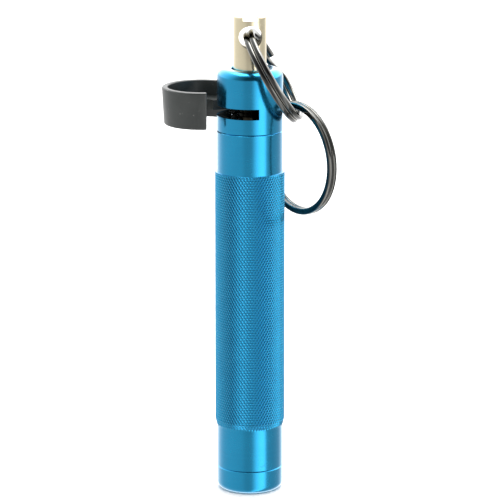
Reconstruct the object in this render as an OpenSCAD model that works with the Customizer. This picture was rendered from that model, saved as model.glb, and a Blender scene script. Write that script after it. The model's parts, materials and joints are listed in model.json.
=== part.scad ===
// Keychain defence spray: knurled aluminium tube, swing-out safety latch, press post and two split rings.
// Millimetres, +Z up the tube, origin at the centre of the end cap's flat bottom, front towards -Y.

/* [Tube] */
// Height over the post's two ears
total_h = 114.4; // [100:0.1:140]
// Radius of the plain tube
tube_r = 7.8; // [7:0.05:9.5]
// Wall of the plain tube
tube_wall = 0.9; // [0.7:0.05:1.1]
// How far the knurled grip stands proud of the tube
grip_step = 0.45; // [0.3:0.05:0.7]
// Plain tube between the end cap and the grip's taper
grip_low_gap = 9.8; // [8:0.1:14]
// Height of the taper at the grip's lower end
grip_taper = 1.8; // [0.8:0.1:3]
// Plain tube between the grip and the head
grip_high_gap = 9.8; // [6:0.1:14]

/* [End cap] */
// Visible height of the end cap
cap_h = 5.5; // [4:0.1:8]
// Radius of the end cap's bottom edge
cap_round = 1.3; // [0.5:0.1:2]
// Length of the screwed spigot
cap_spigot = 8; // [6:0.1:10]
// Thickness of the foam pad under the canister
pad_h = 2; // [1:0.1:3]

/* [Head] */
// Height of the head above the tube
head_h = 14.8; // [14.8:0.1:18]
// Radius of the head's top edge
head_round = 2; // [1:0.1:2.2]
// Length of the head's spigot inside the tube
head_spigot = 9; // [7:0.1:10]
// Height of the latch slot above the head's foot
slot_z = 3.75; // [3.75:0.05:4.5]
// Height of the latch slot
slot_h = 2.5; // [2:0.1:2.7]
// Where the slot stops at the front, right of the axis
slot_end_x = 2.2; // [1.5:0.1:3]
// Radius of the spray port
port_r = 0.9; // [0.7:0.05:0.9]
// Direction of the spray port, round from +X towards +Y
port_a = 40; // [20:1:60]

/* [Post] */
// Height of the post above the head
post_out = 12.5; // [11.5:0.1:16]
// Radius of the post
post_r = 3.87; // [3.6:0.01:4.2]
// Radius of the post's cross hole
hole_r = 2.75; // [2.6:0.05:2.9]
// Depth of the cross hole's centre below the post's top
hole_drop = 4.75; // [4:0.05:6]
// Width of the groove across the post's top
notch_w = 3.7; // [2:0.1:4.5]
// Depth of the groove across the post's top
notch_d = 0.9; // [0.5:0.1:1.2]
// Travel of the post when it is pressed
stroke = 1; // [0.8:0.1:1]
// Turn of the post's cross hole and groove about the tube
hole_yaw = 3; // [0:1:6]

/* [Latch] */
// Thickness of the latch strip
latch_t = 1.4; // [1:0.05:2]
// Height of the latch strip
latch_h = 8.9; // [6:0.1:9]
// Swing of the latch from open to shut
latch_swing = 87; // [80:1:90]
// Direction of the hinge pin, round from +X towards +Y
latch_pin_a = 115.4; // [110:0.1:120]
// Radius of the hinge pin
pin_r = 0.7; // [0.5:0.05:0.8]

/* [Rings] */
// Middle radius of the small split ring
small_r = 11.6; // [11:0.1:14]
// Radial thickness of the small ring
small_t = 1.6; // [1.2:0.1:1.7]
// Width of the small ring's two coils
small_w = 2.7; // [2:0.1:2.8]
// Middle radius of the large split ring
large_r = 12.7; // [12:0.05:17]
// Radial thickness of the large ring
large_t = 1.7; // [1.2:0.1:2]
// Width of the large ring's two coils
large_w = 2.2; // [1.6:0.1:2.8]
// Turn of the hanging rings about the tube
ring_yaw = -2.7; // [-6:0.1:3]

/* [Fits] */
// Radial clearance of screwed and pushed-in round pieces
fit = 0.05; // [0.03:0.01:0.08]
// Gap between loose neighbours
gap = 0.1; // [0.05:0.01:0.2]

/* [Hidden] */
$fn = 96;
eps = 0.01;

// levels up the tube
barrel_top = total_h - post_out - head_h;
head_top = total_h - post_out;
grip_taper_low = cap_h + grip_low_gap;
grip_low = grip_taper_low + grip_taper;
grip_high = barrel_top - grip_high_gap;
bore_r = tube_r - tube_wall;
spigot_r = bore_r - fit;
grip_r = tube_r + grip_step;
edge_chamfer = 0.15;

// end cap, pad and seals
cap_top_spigot = cap_h + cap_spigot;
pad_r = bore_r - 0.9;
pad_top = cap_top_spigot + pad_h;
seal_d = 1;
seal_out_r = bore_r - 0.02;
seal_groove_w = seal_d + 0.3;
cap_seal_z = cap_h + 2.2;
head_seal_z = barrel_top - 3;

// head: chamber for the spray button, ledge, slot and post bore
slot_low = barrel_top + slot_z;
slot_high = slot_low + slot_h;
ledge_t = 0.5;
bore_floor = slot_low - 0.2;
chamber_top = bore_floor - ledge_t;
chamber_r = bore_r - 1.6;
head_bore_r = post_r + 0.48;
slot_back_x = -1.2;
bush_low = slot_high + 0.3;
bush_top = head_top - 2.5;

// post, clip and spray button
shank_r = 2.6;
shoulder_z = slot_high + 0.2;
clip_t = 0.4;
clip_low = chamber_top - 0.15 - clip_t;
shank_low = clip_low - 0.25;
clip_groove_r = 2.1;
clip_r = chamber_r - 1;
hole_z = total_h - hole_drop;
button_r = chamber_r - 0.15;
button_h = 9.4;
button_low = shank_low - button_h;
nozzle_r = 0.6;
nozzle_l = 1.5;
port_z = barrel_top + port_r + edge_chamfer;
nozzle_z = port_z + stroke * 0.45;

// canister and valve
spring_gap_h = 4.6;
cup_top = button_low - spring_gap_h;
cup_flange_t = 0.9;
neck_top = cup_top - cup_flange_t;
neck_r = 4.6;
can_wall = 0.4;
can_r = bore_r - 0.65;
can_low = pad_top + gap;
can_shoulder = neck_top - 3.4;
cup_plug_r = neck_r - can_wall - fit;
stem_r = 1.2;
stem_hole_r = stem_r + 0.1;
seat_r = 2.3;
gasket_top = neck_top - 0.5;
gasket_t = 0.8;
housing_r = seat_r - fit;
housing_top = gasket_top - gasket_t;
housing_l = 7.1;
housing_low = housing_top - housing_l;
housing_wall = 0.55;
nipple_r = 0.75;
nipple_l = 1.5;
stem_flange_r = 1.5;
stem_flange_t = 0.8;
stem_flange_top = housing_top - gap;
stem_flange_low = stem_flange_top - stem_flange_t;
stem_top = button_low + 3.1;
tube_out_r = 1;
dip_low = can_low + 2.5;

// latch, laid out shut round the tube's axis and then swung open about its pin
latch_in_r = tube_r + 0.2;
latch_out_r = latch_in_r + latch_t;
latch_pin_r = tube_r + 0.9;
pin_at = latch_pin_r * [cos(latch_pin_a), sin(latch_pin_a), 0];
latch_low = barrel_top + 0.9;
latch_first_a = 131;
latch_last_a = 365.5;
web_low = slot_low + gap;
web_h = slot_h - 2 * gap;
web_in_r = shank_r + 0.3;
web_end_x = slot_end_x - 0.25;
eye_r = 1.5;
ear_r = eye_r + 0.2;
ear_h = 2.5;
pin_hole_r = pin_r + 0.06;

// rings: the small one stands up in the post's hole and leans clear of the head, the large one hangs in it
wire_round = 0.5;
small_lift = 0.64;
small_reach = small_r - small_lift;
head_gap = 3.11;
lean = asin((tube_r + head_gap) / (small_reach + small_r - small_t / 2));
link_a = 15.87;
link_gap = small_t / 2 + large_t / 2 + 1.06;
link_r = small_r - link_gap;
link_along = small_reach + link_r * cos(link_a);
link_plan = [link_along * sin(lean), link_r * sin(link_a)];
link_at = [
    link_plan[0] * cos(ring_yaw) - link_plan[1] * sin(ring_yaw),
    link_plan[0] * sin(ring_yaw) + link_plan[1] * cos(ring_yaw),
    hole_z - link_along * cos(lean)
];
link_out = norm([link_at[0], link_at[1]]);
large_gap = 0.18;
large_out = tube_r + large_w / 2 + large_gap;
large_turn = atan2(link_at[1], link_at[0]) + acos(large_out / link_out);
large_tip = 2;
hang_a = 9.25;

function arc(cx, cy, r, from, to, steps) =
    [for (i = [0:steps]) let (a = from + (to - from) * i / steps) [cx + r * cos(a), cy + r * sin(a)]];

// coil of round wire from z = 0 up, made as one swept tube with closed ends
module coil(mean_r, wire_r, height, turns) {
    sides = 8;
    rings = turns * 14;
    points = [for (i = [0:rings]) for (j = [0:sides - 1])
        let (a = 360 * turns * i / rings, b = 360 * j / sides, r = mean_r + wire_r * cos(b))
        [r * cos(a), r * sin(a), wire_r + (height - 2 * wire_r) * i / rings + wire_r * sin(b)]];
    walls = [for (i = [0:rings - 1]) for (j = [0:sides - 1])
        [i * sides + j, (i + 1) * sides + j, (i + 1) * sides + (j + 1) % sides, i * sides + (j + 1) % sides]];
    first = [for (j = [0:sides - 1]) j];
    last = [for (j = [sides - 1:-1:0]) rings * sides + j];
    polyhedron(points, concat(walls, [first, last]), convexity = 10);
}

module tube(r_out, r_in, low, high) {
    translate([0, 0, low])
        difference() {
            cylinder(r = r_out, h = high - low);
            translate([0, 0, -eps]) cylinder(r = r_in, h = high - low + 2 * eps);
        }
}

module seal(z) {
    translate([0, 0, z])
        rotate_extrude()
            translate([seal_out_r - seal_d / 2, 0]) circle(r = seal_d / 2, $fn = 32);
}

module seal_groove(z) {
    tube(tube_r, seal_out_r - seal_d - 0.03, z - seal_groove_w / 2, z + seal_groove_w / 2);
}

module rounded_rect(w, h, r) {
    square([w - 2 * r, h], center = true);
    square([w, h - 2 * r], center = true);
    for (x = [-1, 1])
        for (y = [-1, 1])
            translate([x * (w / 2 - r), y * (h / 2 - r)]) circle(r = r, $fn = 24);
}

// two flat coils side by side, axis along Z
module split_ring(mid_r, thick, width) {
    rotate_extrude()
        for (side = [-1, 1])
            translate([mid_r, side * (width / 4 - 0.01)])
                rounded_rect(thick, width / 2 + 0.02, min(wire_round, width / 4 - 0.1));
}

module barrel() {
    color("deepskyblue")
        difference() {
            rotate_extrude()
                polygon([
                    [0, cap_h], [tube_r - edge_chamfer, cap_h], [tube_r, cap_h + edge_chamfer],
                    [tube_r, grip_taper_low], [grip_r, grip_low],
                    [grip_r, grip_high - 0.1], [grip_r - 0.1, grip_high], [tube_r, grip_high],
                    [tube_r, barrel_top - edge_chamfer], [tube_r - edge_chamfer, barrel_top], [0, barrel_top]
                ]);
            translate([0, 0, cap_h - 1]) cylinder(r = bore_r, h = barrel_top - cap_h + 2);
        }
}

module end_cap() {
    color("deepskyblue")
        difference() {
            rotate_extrude()
                polygon(concat(
                    [[0, 0]],
                    arc(tube_r - cap_round, cap_round, cap_round, -90, 0, 8),
                    [
                        [tube_r, cap_h - edge_chamfer], [tube_r - edge_chamfer, cap_h], [spigot_r, cap_h],
                        [spigot_r, cap_top_spigot - 0.4], [spigot_r - 0.4, cap_top_spigot], [0, cap_top_spigot]
                    ]
                ));
            seal_groove(cap_seal_z);
        }
}

module cap_oring() {
    color("black") seal(cap_seal_z);
}

module cushion_pad() {
    color("dimgray")
        translate([0, 0, cap_top_spigot]) cylinder(r = pad_r, h = pad_h);
}

module canister_can() {
    inside = can_wall;
    color("silver")
        rotate_extrude()
            polygon([
                [0, can_low + 1.2], [can_r - 1.6, can_low], [can_r - 0.4, can_low], [can_r, can_low + 0.4],
                [can_r, can_shoulder], [neck_r, neck_top - 1], [neck_r, neck_top],
                [neck_r - inside, neck_top], [neck_r - inside, neck_top - 1 - 0.1],
                [can_r - inside, can_shoulder - 0.1], [can_r - inside, can_low + 0.7],
                [can_r - 0.6, can_low + inside], [can_r - 1.5, can_low + inside], [0, can_low + 1.2 + inside]
            ]);
}

module dip_tube() {
    color("white") tube(tube_out_r, nipple_r + 0.03, dip_low, housing_low);
}

module valve_cup() {
    color("lightgray")
        difference() {
            union() {
                translate([0, 0, neck_top]) cylinder(r = neck_r + 0.5, h = cup_flange_t);
                translate([0, 0, neck_top - 2.4]) cylinder(r = cup_plug_r, h = 2.5);
            }
            translate([0, 0, neck_top - 3]) cylinder(r = stem_hole_r, h = 6);
            translate([0, 0, neck_top - 3]) cylinder(r = seat_r, h = 3 - (neck_top - gasket_top));
        }
}

module stem_gasket() {
    color("black") tube(housing_r, stem_r + fit, gasket_top - gasket_t, gasket_top);
}

module valve_housing() {
    color("whitesmoke")
        rotate_extrude()
            polygon([
                [0.35, housing_low - nipple_l], [nipple_r, housing_low - nipple_l],
                [nipple_r, housing_low], [housing_r, housing_low],
                [housing_r, housing_top], [housing_r - housing_wall, housing_top],
                [housing_r - housing_wall, housing_low + 1], [0.35, housing_low + 1]
            ]);
}

module valve_spring() {
    color("gainsboro")
        translate([0, 0, housing_low + 1 + gap / 2])
            coil(1.25, 0.16, stem_flange_low - housing_low - 1 - gap, 6);
}

module valve_stem() {
    color("ivory")
        difference() {
            union() {
                translate([0, 0, stem_flange_low]) cylinder(r = stem_r, h = stem_top - stem_flange_low);
                translate([0, 0, stem_flange_low]) cylinder(r = stem_flange_r, h = stem_flange_t);
                translate([0, 0, stem_flange_low - 0.7]) cylinder(r = 0.8, h = 1);
            }
            translate([0, 0, stem_flange_top + 1.4]) cylinder(r = 0.5, h = stem_top);
        }
}

module return_spring() {
    color("gainsboro")
        translate([0, 0, cup_top + gap / 2])
            coil(3.4, 0.35, spring_gap_h - gap, 5);
}

module spray_button() {
    color("white")
        difference() {
            translate([0, 0, button_low]) cylinder(r = button_r, h = button_h);
            translate([0, 0, button_low - 1]) cylinder(r = stem_r + fit, h = stem_top - button_low + 1);
            translate([0, 0, stem_top - eps]) cylinder(r = 0.5, h = nozzle_z - stem_top);
            translate([0, 0, nozzle_z])
                rotate([0, 90, port_a]) {
                    cylinder(r = 0.5, h = button_r);
                    translate([0, 0, button_r - nozzle_l - 0.05]) cylinder(r = nozzle_r + 0.03, h = 3);
                }
        }
}

module nozzle_insert() {
    color("goldenrod")
        translate([0, 0, nozzle_z])
            rotate([0, 90, port_a])
                translate([0, 0, button_r - nozzle_l - 0.05])
                    difference() {
                        cylinder(r = nozzle_r, h = nozzle_l);
                        translate([0, 0, -1]) cylinder(r = 0.2, h = nozzle_l + 2);
                    }
}

// the two ears that carry the latch's hinge pin
module hinge_ears(r, low, high) {
    translate([0, 0, low])
        linear_extrude(high - low) {
            translate([pin_at[0], pin_at[1]]) circle(r = r);
            rotate(latch_pin_a) translate([head_bore_r + 1, -r]) square([latch_pin_r - head_bore_r - 1, 2 * r]);
        }
}

module head() {
    color("deepskyblue")
        difference() {
            union() {
                rotate_extrude()
                    polygon(concat(
                        [
                            [chamber_r, barrel_top - head_spigot], [spigot_r - 0.4, barrel_top - head_spigot],
                            [spigot_r, barrel_top - head_spigot + 0.4], [spigot_r, barrel_top],
                            [tube_r - edge_chamfer, barrel_top], [tube_r, barrel_top + edge_chamfer]
                        ],
                        arc(tube_r - head_round, head_top - head_round, head_round, 0, 90, 6),
                        [
                            [head_bore_r + 0.3, head_top], [head_bore_r, head_top - 0.3], [head_bore_r, bore_floor],
                            [shank_r + 0.15, bore_floor], [shank_r + 0.15, chamber_top], [chamber_r, chamber_top]
                        ]
                    ));
                hinge_ears(ear_r, slot_low - ear_h, slot_high + ear_h);
            }
            seal_groove(head_seal_z);
            translate([0, 0, slot_low])
                linear_extrude(slot_h)
                    difference() {
                        circle(r = 2 * tube_r);
                        translate([slot_back_x, 0]) square([3 * tube_r, 3 * tube_r]);
                        translate([slot_end_x, -3 * tube_r]) square([3 * tube_r, 3 * tube_r + 1]);
                    }
            translate([0, 0, port_z])
                rotate([0, 90, port_a])
                    translate([0, 0, chamber_r - 1]) cylinder(r = port_r, h = tube_r);
            translate([pin_at[0], pin_at[1], slot_low - ear_h - 1]) cylinder(r = pin_r + 0.02, h = slot_h + 2 * ear_h + 2);
        }
}

module head_oring() {
    color("black") seal(head_seal_z);
}

module post_bush() {
    color("dimgray") tube(head_bore_r, post_r + 0.04, bush_low, bush_top);
}

module post() {
    color("wheat")
        rotate(hole_yaw)
            difference() {
                rotate_extrude()
                    polygon(concat(
                        [
                            [0, shank_low], [shank_r, shank_low], [shank_r, clip_low], [clip_groove_r, clip_low],
                            [clip_groove_r, clip_low + clip_t], [shank_r, clip_low + clip_t],
                            [shank_r, shoulder_z], [post_r - 0.2, shoulder_z], [post_r, shoulder_z + 0.2]
                        ],
                        arc(post_r - 0.35, total_h - 0.35, 0.35, 0, 90, 4),
                        [[0, total_h]]
                    ));
                translate([-notch_w / 2, -2 * post_r, total_h - notch_d]) cube([notch_w, 4 * post_r, 2 * notch_d]);
                translate([0, 2 * post_r, hole_z]) rotate([90, 0, 0]) cylinder(r = hole_r, h = 4 * post_r);
            }
}

module retaining_clip() {
    color("gray")
        difference() {
            tube(clip_r, clip_groove_r + 0.03, clip_low, clip_low + clip_t);
            translate([0, -1.5, clip_low - 1]) cube([2 * clip_r, 3, 3]);
        }
}

module latch() {
    color("darkslategray")
        translate(pin_at)
            rotate(-latch_swing)
                translate(-pin_at)
                    difference() {
                        union() {
                            rotate([0, 0, latch_first_a])
                                rotate_extrude(angle = latch_last_a - latch_first_a)
                                    translate([latch_in_r + latch_t / 2, latch_low + latch_h / 2])
                                        rounded_rect(latch_t, latch_h, 0.35);
                            translate([0, 0, web_low]) linear_extrude(web_h) latch_web();
                        }
                        translate([pin_at[0], pin_at[1], web_low - 1]) cylinder(r = pin_hole_r, h = web_h + 2);
                    }
}

// the flat web that pivots on the pin and slides under the post's shoulder
module latch_web() {
    difference() {
        union() {
            intersection() {
                circle(r = latch_in_r + latch_t / 2);
                polygon([
                    [0, 0], 3 * tube_r * [cos(latch_first_a), sin(latch_first_a)],
                    [-3 * tube_r, -3 * tube_r], [web_end_x, -3 * tube_r], [web_end_x, 0]
                ]);
            }
            translate([pin_at[0], pin_at[1]]) circle(r = eye_r);
            rotate(latch_pin_a) translate([web_in_r + 2, 0]) square([latch_pin_r - web_in_r - 2, eye_r]);
            intersection() {
                circle(r = latch_in_r);
                polygon([
                    [0, 0], 3 * tube_r * [cos(latch_pin_a), sin(latch_pin_a)],
                    3 * tube_r * [cos(latch_first_a + 1), sin(latch_first_a + 1)]
                ]);
            }
        }
        circle(r = web_in_r);
    }
}

module latch_pin() {
    color("silver")
        translate([pin_at[0], pin_at[1], slot_low - ear_h])
            cylinder(r = pin_r, h = slot_h + 2 * ear_h);
}

module small_split_ring() {
    color("dimgray")
        translate([0, 0, hole_z])
            rotate(ring_yaw)
                translate(small_reach * [sin(lean), 0, -cos(lean)])
                    rotate([0, 90 - lean, 0])
                        split_ring(small_r, small_t, small_w);
}

module large_split_ring() {
    color("slategray")
        translate(link_at)
            rotate(large_turn)
                translate(large_r * [cos(hang_a) * sin(large_tip), -sin(hang_a), -cos(hang_a) * cos(large_tip)])
                    rotate([0, 90 - large_tip, 0])
                        split_ring(large_r, large_t, large_w);
}

barrel();
end_cap();
cap_oring();
cushion_pad();
canister_can();
dip_tube();
valve_cup();
valve_housing();
valve_spring();
valve_stem();
stem_gasket();
return_spring();
spray_button();
nozzle_insert();
head();
head_oring();
post_bush();
post();
retaining_clip();
latch();
latch_pin();
small_split_ring();
large_split_ring();
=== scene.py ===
"""Keychain defence spray: anodised knurled tube, swing-out latch, press post and two linked split rings.

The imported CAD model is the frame. Each sub-assembly is a class that builds its meshes from its sizes and
dresses them in its finish. Sizes in dataclass fields are millimetres and radians unless a comment or the
class says otherwise.
"""

import json
import logging
import math
from dataclasses import dataclass
from enum import Enum

import bpy
import numpy as np
from mathutils import Matrix, Vector


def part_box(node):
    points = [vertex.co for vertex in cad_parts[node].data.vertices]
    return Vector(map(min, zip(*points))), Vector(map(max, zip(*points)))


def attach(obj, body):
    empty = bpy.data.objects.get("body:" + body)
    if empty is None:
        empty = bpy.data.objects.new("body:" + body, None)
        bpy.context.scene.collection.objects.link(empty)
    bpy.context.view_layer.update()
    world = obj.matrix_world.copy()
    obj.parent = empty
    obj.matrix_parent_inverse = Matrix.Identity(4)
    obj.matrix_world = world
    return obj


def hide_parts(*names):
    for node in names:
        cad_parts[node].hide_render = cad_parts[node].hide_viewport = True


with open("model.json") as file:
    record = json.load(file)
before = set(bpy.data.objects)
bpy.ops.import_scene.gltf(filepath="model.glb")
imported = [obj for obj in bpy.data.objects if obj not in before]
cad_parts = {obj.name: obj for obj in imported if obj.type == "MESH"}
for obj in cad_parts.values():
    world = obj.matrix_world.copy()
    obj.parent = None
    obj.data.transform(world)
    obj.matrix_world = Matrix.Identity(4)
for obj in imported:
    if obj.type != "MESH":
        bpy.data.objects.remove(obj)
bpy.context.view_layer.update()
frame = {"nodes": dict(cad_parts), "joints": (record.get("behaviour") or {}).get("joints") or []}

LOG = logging.getLogger("keychain_spray")
MM = 0.001
SIDES = 192
SMOOTH_ANGLE = math.radians(26)
Array = np.ndarray


# ---------------------------------------------------------------- meshes worked out as arrays


@dataclass(frozen=True)
class Surface:
    """A closed or open mesh: points (n, 3) in millimetres, and faces as lists of point numbers."""

    points: Array
    faces: list

    def outward(self) -> "Surface":
        """Returns the surface with its faces turned outwards, judged by the sign of the volume it holds."""
        volume = 0.0
        for face in self.faces:
            corners = self.points[np.asarray(face)]
            fan = np.cross(corners[1:-1], corners[2:])
            volume += float(np.einsum("ij,j->", fan, corners[0]))
        if volume >= 0:
            return self
        return Surface(self.points, [list(reversed(face)) for face in self.faces])

    def moved(self, turn: Array, shift: Array) -> "Surface":
        """Returns the surface turned by a 3x3 matrix and then shifted."""
        return Surface(self.points @ np.asarray(turn).T + np.asarray(shift), self.faces)

    def joined(self, other: "Surface") -> "Surface":
        """Returns one surface that holds both, side by side."""
        start = len(self.points)
        moved = [[i + start for i in face] for face in other.faces]
        return Surface(np.vstack([self.points, other.points]), self.faces + moved)


def grid_faces(rows: int, cols: int, close_rows: bool, close_cols: bool, start: int = 0) -> Array:
    """Quads between neighbouring points of a grid.

    Args:
        rows: Number of rows of points.
        cols: Number of points in a row.
        close_rows: Joins the last row to the first.
        close_cols: Joins each row's last point to its first.
        start: Number of the grid's first point.

    Returns:
        Point numbers, one quad a line.
    """
    i = np.arange(rows if close_rows else rows - 1)[:, None]
    j = np.arange(cols if close_cols else cols - 1)[None, :]
    below, above = i * cols, (i + 1) % rows * cols
    after = (j + 1) % cols
    quads = np.stack(np.broadcast_arrays(below + j, below + after, above + after, above + j), axis=-1)
    return quads.reshape(-1, 4) + start


def arc(cx: float, cy: float, r: float, first: float, last: float, steps: int) -> Array:
    """Points on a circular arc about (cx, cy), from one angle to another in degrees."""
    a = np.radians(np.linspace(first, last, steps + 1))
    return np.column_stack([cx + r * np.cos(a), cy + r * np.sin(a)])


def rounded(corners: list, steps: int = 5) -> Array:
    """Outline with its corners rounded: each corner gives way to the arc that touches both its sides.

    Args:
        corners: (x, y, radius) for each corner of a closed outline.
        steps: Steps along each arc.

    Returns:
        Points of the outline, (n, 2).
    """
    at = np.array([c[:2] for c in corners], float)
    out = []
    for here, before, after, corner in zip(at, np.roll(at, 1, 0), np.roll(at, -1, 0), corners):
        radius = corner[2]
        if radius <= 0:
            out.append(here[None])
            continue
        a, b = before - here, after - here
        a, b = a / np.linalg.norm(a), b / np.linalg.norm(b)
        half = math.acos(float(np.clip(a @ b, -1, 1))) / 2
        reach = radius / math.tan(half)
        middle = here + (a + b) / np.linalg.norm(a + b) * radius / math.sin(half)
        start, stop = here + a * reach - middle, here + b * reach - middle
        t = np.linspace(0, 1, steps + 1)[:, None]
        sweep = math.pi - 2 * half
        out.append(middle + (np.sin((1 - t) * sweep) * start + np.sin(t * sweep) * stop) / math.sin(sweep))
    return np.vstack(out)


def turned(profile: Array, sides: int = SIDES) -> Surface:
    """Solid of revolution: each profile point (r, z) goes round the Z axis as (r cos a, r sin a, z).

    Args:
        profile: Closed loop of (r, z), or an open line whose two ends lie on the axis.
        sides: Steps round the axis.

    Returns:
        A closed surface.
    """
    profile = np.asarray(profile, float)
    poles = profile[0, 0] == 0 and profile[-1, 0] == 0
    rows = profile[1:-1] if poles else profile
    a = np.linspace(0, 2 * np.pi, sides, endpoint=False)
    points = np.stack([
        np.outer(rows[:, 0], np.cos(a)), np.outer(rows[:, 0], np.sin(a)),
        np.repeat(rows[:, 1:], sides, axis=1)], axis=-1).reshape(-1, 3)
    faces = grid_faces(len(rows), sides, not poles, True).tolist()
    if poles:
        ends = np.array([[0, 0, profile[0, 1]], [0, 0, profile[-1, 1]]])
        first, last = len(points), len(points) + 1
        ring = np.arange(sides)
        top = (len(rows) - 1) * sides
        faces += np.column_stack([np.full(sides, first), np.roll(ring, -1), ring]).tolist()
        faces += np.column_stack([np.full(sides, last), top + ring, top + np.roll(ring, -1)]).tolist()
        points = np.vstack([points, ends])
    return Surface(points, faces).outward()


def extruded(outline: Array, low: float, high: float) -> Surface:
    """Straight prism over a plan outline: the points (x, y) at z = low and at z = high, with flat ends."""
    n = len(outline)
    points = np.vstack([np.column_stack([outline, np.full(n, z)]) for z in (low, high)])
    faces = grid_faces(2, n, False, True).tolist()
    faces += [list(range(n - 1, -1, -1)), list(range(n, 2 * n))]
    return Surface(points, faces).outward()


def carried(section: Array, centres: Array, across: Array, along_up: Array) -> Surface:
    """Section carried along a path: point = centre + s0 * across + s1 * up, with flat ends.

    Args:
        section: Closed outline (m, 2).
        centres: Path points (n, 3).
        across: Unit direction of the section's first axis at each path point (n, 3).
        along_up: Unit direction of its second axis at each path point (n, 3).

    Returns:
        A closed surface.
    """
    n, m = len(centres), len(section)
    sideways, upwards = section[None, :, :1] * across[:, None], section[None, :, 1:] * along_up[:, None]
    points = centres[:, None] + sideways + upwards
    faces = grid_faces(n, m, False, True).tolist()
    faces += [list(range(m - 1, -1, -1)), list(range((n - 1) * m, n * m))]
    return Surface(points.reshape(-1, 3), faces).outward()


def turn_z(angle: float) -> Array:
    """Matrix that turns by an angle in radians about +Z."""
    c, s = math.cos(angle), math.sin(angle)
    return np.array([[c, -s, 0.0], [s, c, 0.0], [0.0, 0.0, 1.0]])


def unit(v: Array) -> Array:
    """The vector at length one."""
    v = np.asarray(v, float)
    return v / np.linalg.norm(v)


def box_mm(node: str) -> tuple:
    """A CAD node's lowest and highest corners in millimetres."""
    low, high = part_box(node)
    return np.array(low) / MM, np.array(high) / MM


class Workshop:
    """Turns surfaces into finished objects, cut and bevelled in millimetres and then set in metres."""

    @staticmethod
    def raw(name: str, surface: Surface) -> bpy.types.Object:
        """Makes an object straight from a surface, still in millimetres."""
        mesh = bpy.data.meshes.new(name)
        mesh.from_pydata(surface.points.tolist(), [], [list(map(int, f)) for f in surface.faces])
        mesh.validate()
        obj = bpy.data.objects.new(name, mesh)
        bpy.context.scene.collection.objects.link(obj)
        return obj

    @staticmethod
    def bake(obj: bpy.types.Object) -> None:
        """Replaces the object's mesh by its mesh with every modifier applied."""
        bpy.context.view_layer.update()
        solved = obj.evaluated_get(bpy.context.evaluated_depsgraph_get())
        mesh = bpy.data.meshes.new_from_object(solved)
        obj.modifiers.clear()
        old = obj.data
        obj.data = mesh
        bpy.data.meshes.remove(old)

    @classmethod
    def cut(cls, obj: bpy.types.Object, tool: Surface, operation: str = "DIFFERENCE") -> None:
        """Cuts the tool surface from the object, or joins it on.

        Args:
            obj: The object, in millimetres.
            tool: The surface to cut with.
            operation: DIFFERENCE cuts, UNION joins.
        """
        knife = cls.raw("tool", tool)
        step = obj.modifiers.new("cut", "BOOLEAN")
        step.operation, step.object, step.solver = operation, knife, "EXACT"
        cls.bake(obj)
        bpy.data.objects.remove(knife)

    @classmethod
    def bevel(cls, obj: bpy.types.Object, width: float, angle: float = 40, segments: int = 2) -> None:
        """Rounds every sharp edge.

        Args:
            obj: The object, in millimetres.
            width: Width of the rounding in millimetres.
            angle: Edges sharper than this many degrees are rounded.
            segments: Steps across the rounding.
        """
        step = obj.modifiers.new("edge", "BEVEL")
        step.width, step.segments = width, segments
        step.limit_method, step.angle_limit = "ANGLE", math.radians(angle)
        step.use_clamp_overlap = True
        cls.bake(obj)

    @staticmethod
    def finish(obj: bpy.types.Object, material: bpy.types.Material, body: str, slot: str,
               replaced: tuple = (), flat: Array = None) -> bpy.types.Object:
        """Sets a piece in metres, shades it, dresses it and hangs it on its body.

        Args:
            obj: The piece, in millimetres.
            material: Its finish.
            body: The CAD body it rides on.
            slot: The record's material slot; not used.
            replaced: CAD nodes that it stands for.
            flat: True for each face that stays flat-shaded.

        Returns:
            The finished piece.
        """
        mesh = obj.data
        mesh.transform(Matrix.Scale(MM, 4))
        smooth = np.ones(len(mesh.polygons), bool) if flat is None else ~flat
        mesh.polygons.foreach_set("use_smooth", smooth)
        mesh.set_sharp_from_angle(angle=SMOOTH_ANGLE)
        mesh.materials.clear()
        mesh.materials.append(material)
        mesh.update()
        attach(obj, body)
        if replaced:
            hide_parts(*replaced)
        LOG.info("%s: %d faces on %s", obj.name, len(mesh.polygons), body)
        return obj


# ---------------------------------------------------------------- shader groups and finishes


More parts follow.
